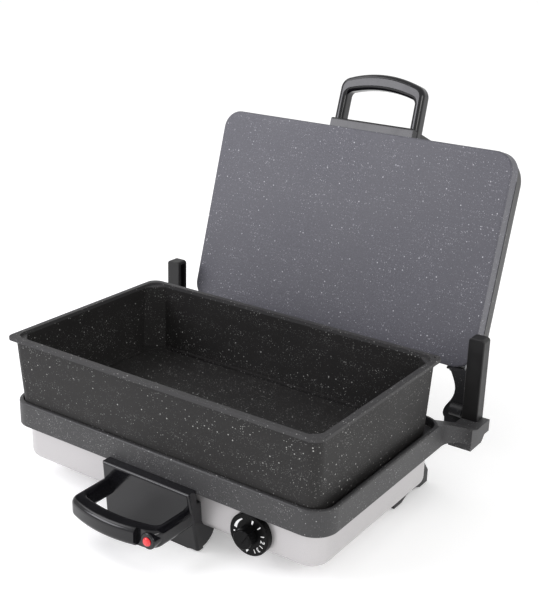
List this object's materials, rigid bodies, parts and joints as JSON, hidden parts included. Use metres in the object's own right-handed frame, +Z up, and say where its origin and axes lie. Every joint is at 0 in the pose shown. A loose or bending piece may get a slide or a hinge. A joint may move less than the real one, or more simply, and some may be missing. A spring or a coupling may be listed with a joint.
{
  "type": "electric griddle",
  "caption": "Electric table griddle with a hinged contact lid that rises in slotted rear posts, a lift-out deep pan, bow handles and a rotary thermostat.",
  "frame": {"origin": "on the worktop under the middle of the bounding box, with the lid open", "axes": "-Y to the front (handle and knob side), +X to the right seen from the front, +Z up"},
  "size_m": [0.449, 0.5294, 0.4098],
  "materials": {
    "silver_shell": "satin silver-grey paint",
    "coated_plate": "dark grey non-stick coating with fine light speckles on cast aluminium",
    "coated_pan": "dark grey non-stick coating with fine light speckles on cast aluminium",
    "lid_cover_paint": "satin mid-grey coating",
    "black_phenolic": "glossy black heat-resistant plastic",
    "black_plastic": "matte black heat-resistant plastic",
    "red_lens": "glossy red lens",
    "clear_glass": "small glass lamp",
    "rubber": "black rubber",
    "brass": "plain brass",
    "hinge_metal": "dark grey coating with fine light speckles",
    "steel": "plain zinc-plated steel"
  },
  "bodies": {
    "base": {"base_shell": "silver_shell", "bottom_cover": "steel", "bottom_cover_screws": "steel", "element_clamps": "steel", "front_bracket": "black_phenolic", "front_handle": "black_phenolic", "front_handle_screws": "steel", "inlet_pins": "brass", "left_post": "black_plastic", "lower_element": "steel", "lower_plate": "coated_plate", "lower_reflector": "steel", "neon_lamp": "clear_glass", "plate_pillars": "steel", "plate_screws": "steel", "post_screws": "steel", "power_inlet": "black_plastic", "rear_stand": "black_plastic", "rear_stand_screws": "steel", "right_post": "black_plastic", "rubber_pads": "rubber", "signal_lamp_lens": "red_lens", "terminal_block": "black_plastic", "thermostat_body": "black_plastic", "thermostat_dial": "black_plastic"},
    "hinge_carriage": {"left_hinge_roller": "steel", "right_hinge_roller": "steel"},
    "lid": {"upper_plate": "coated_plate", "lid_cover": "lid_cover_paint", "lid_cover_screws": "steel", "left_hinge_arm": "hinge_metal", "right_hinge_arm": "hinge_metal", "hinge_pins": "steel", "hinge_arm_screws": "steel", "lid_bracket": "black_phenolic", "lid_bracket_screws": "steel", "lid_handle": "black_phenolic", "upper_element": "steel", "upper_element_clamps": "steel", "upper_reflector": "steel", "upper_terminal_block": "black_plastic"},
    "knob": {"thermostat_knob": "black_plastic", "thermostat_shaft": "steel"},
    "pan": {"deep_pan": "coated_pan"}
  },
  "joints": [
    {"name": "carriage_slide", "type": "slide", "parent": "base", "child": "hinge_carriage", "axis": [0, 0, 1], "range_m": [0, 0.0828]},
    {"name": "lid_hinge", "type": "hinge", "parent": "hinge_carriage", "child": "lid", "pos_m": [0, 0.09657, 0.0804], "axis": [1, 0, 0], "range_deg": [0, 106.25]},
    {"name": "knob_turn", "type": "hinge", "parent": "base", "child": "knob", "pos_m": [0.1175, -0.18618, 0.04], "axis": [0, 1, 0], "range_deg": [0, 270]},
    {"name": "pan_lift", "type": "slide", "parent": "base", "child": "pan", "axis": [0, 0, 1], "range_m": [0, 0.2]}
  ],
  "couplings": [
    {"joint": "carriage_slide", "follows": "lid_hinge", "m_per_rad": 0.0446}
  ]
}
